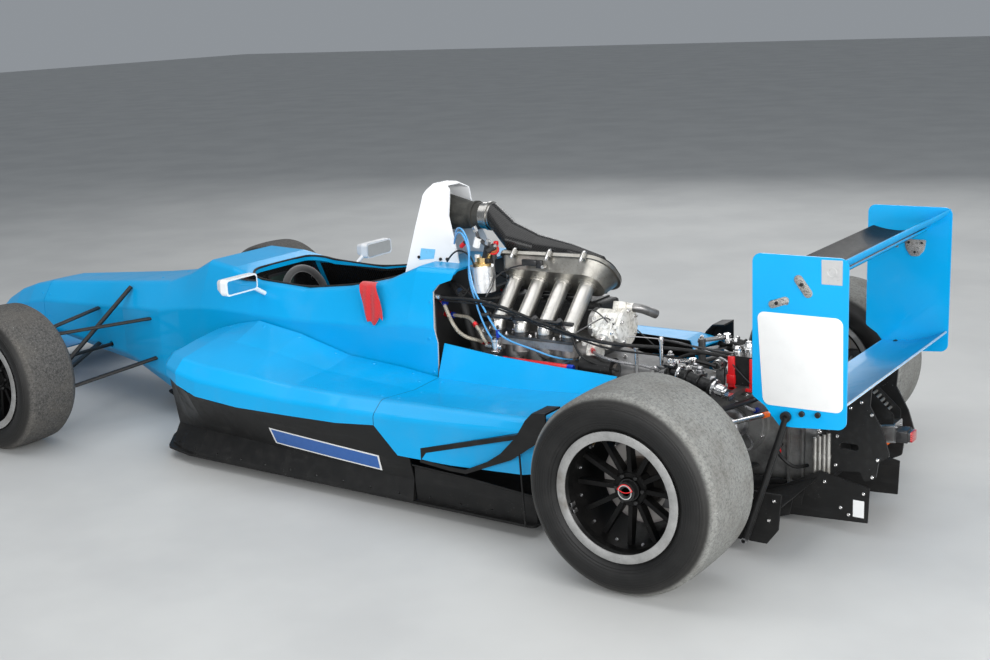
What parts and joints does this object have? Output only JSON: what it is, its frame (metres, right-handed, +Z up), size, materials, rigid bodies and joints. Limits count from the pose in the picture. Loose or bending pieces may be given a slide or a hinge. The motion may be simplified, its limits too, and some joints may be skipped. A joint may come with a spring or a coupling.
{
  "type": "open wheel racing car",
  "caption": "Single-seat open wheel racing car with slick tyres, sidepods, wings, open cockpit and its engine cover off to show the engine.",
  "frame": {"origin": "on the ground below the middle of the car's length and width", "axes": "+X forward, +Y to the driver's left, +Z up"},
  "size_m": [4.27, 1.7352, 0.9689],
  "materials": {
    "body_blue": "gloss",
    "body_white": "gloss",
    "black_composite": "satin",
    "carbon": "gloss",
    "black_rubber": "matte",
    "dark_casting": "cast",
    "bright_casting": "cast",
    "grey_casting": "cast",
    "steel": "machined",
    "black_paint": "satin",
    "red_lens": "gloss",
    "black_leather": "grained",
    "padding": "woven",
    "red_webbing": "woven",
    "tyre_rubber": "scuffed",
    "rim_black": "satin with machined lips",
    "brake_iron": "machined"
  },
  "bodies": {
    "root": {"tub": "body_blue", "nose_cone": "body_blue", "front_wing_main": "body_blue", "front_wing_flaps": "body_blue", "front_wing_endplates": "body_blue", "front_wing_pylons": "body_blue", "floor": "black_composite", "side_trays": "black_composite", "sidepod_left": "body_blue", "sidepod_right": "body_blue", "flip_ups": "black_composite", "roll_hoop_cover": "body_white", "intake_filter": "black_rubber", "airbox_duct": "carbon", "engine_block": "dark_casting", "cylinder_head": "bright_casting", "cam_cover": "dark_casting", "plenum": "bright_casting", "intake_runners": "bright_casting", "bell_housing": "bright_casting", "gearbox": "grey_casting", "rear_uprights": "grey_casting", "front_wishbones": "black_paint", "rear_wishbones": "black_paint", "front_pushrods": "black_paint", "rear_pushrods": "black_paint", "rear_dampers": "steel", "rear_wing_main": "carbon", "rear_wing_flap": "body_blue", "beam_wing": "body_blue", "rear_wing_endplates": "body_blue", "wing_supports": "black_paint", "rear_light": "red_lens", "diffuser": "black_composite", "rack_housing": "grey_casting", "seat": "black_composite", "headrest": "padding", "dash": "carbon", "mirrors": "body_white", "hoses": "black_rubber", "shoulder_belt": "red_webbing"},
    "steering_wheel_body": {"steering_wheel": "black_leather", "steering_column": "steel"},
    "rack": {"steering_rack": "steel"},
    "knuckle_left_body": {"knuckle_left": "grey_casting"},
    "knuckle_right_body": {"knuckle_right": "grey_casting"},
    "wheel_front_left": {"tyre_front_left": "tyre_rubber", "rim_front_left": "rim_black", "disc_front_left": "brake_iron"},
    "wheel_front_right": {"tyre_front_right": "tyre_rubber", "rim_front_right": "rim_black", "disc_front_right": "brake_iron"},
    "wheel_rear_left": {"tyre_rear_left": "tyre_rubber", "rim_rear_left": "rim_black", "disc_rear_left": "brake_iron", "driveshaft_left": "steel"},
    "wheel_rear_right": {"tyre_rear_right": "tyre_rubber", "rim_rear_right": "rim_black", "disc_rear_right": "brake_iron", "driveshaft_right": "steel"}
  },
  "joints": [
    {"name": "steering_turn", "type": "hinge", "parent": "root", "child": "steering_wheel_body", "pos_m": [0.225, 0, 0.5], "axis": [-0.9673, 0, 0.2536], "range_deg": [-160, 160]},
    {"name": "rack_slide", "type": "slide", "parent": "root", "child": "rack", "axis": [0, 1, 0], "range_m": [-0.0284, 0.0284]},
    {"name": "steer_left", "type": "hinge", "parent": "root", "child": "knuckle_left_body", "pos_m": [1.085, 0.67, 0.27], "axis": [0, 0, 1], "range_deg": [-16.2, 16.2]},
    {"name": "steer_right", "type": "hinge", "parent": "root", "child": "knuckle_right_body", "pos_m": [1.085, -0.67, 0.27], "axis": [0, 0, 1], "range_deg": [-16.2, 16.2]},
    {"name": "spin_front_left", "type": "hinge", "parent": "knuckle_left_body", "child": "wheel_front_left", "pos_m": [1.085, 0.75, 0.27], "axis": [0, 1, 0], "continuous": true},
    {"name": "spin_front_right", "type": "hinge", "parent": "knuckle_right_body", "child": "wheel_front_right", "pos_m": [1.085, -0.75, 0.27], "axis": [0, 1, 0], "continuous": true},
    {"name": "spin_rear_left", "type": "hinge", "parent": "root", "child": "wheel_rear_left", "pos_m": [-1.615, 0.72, 0.285], "axis": [0, 1, 0], "continuous": true},
    {"name": "spin_rear_right", "type": "hinge", "parent": "root", "child": "wheel_rear_right", "pos_m": [-1.615, -0.72, 0.285], "axis": [0, 1, 0], "continuous": true}
  ],
  "couplings": [
    {"joint": "rack_slide", "follows": "steering_turn", "m_per_rad": 0.01},
    {"joint": "steer_left", "follows": "steering_turn", "ratio": 0.1},
    {"joint": "steer_right", "follows": "steering_turn", "ratio": 0.1}
  ]
}
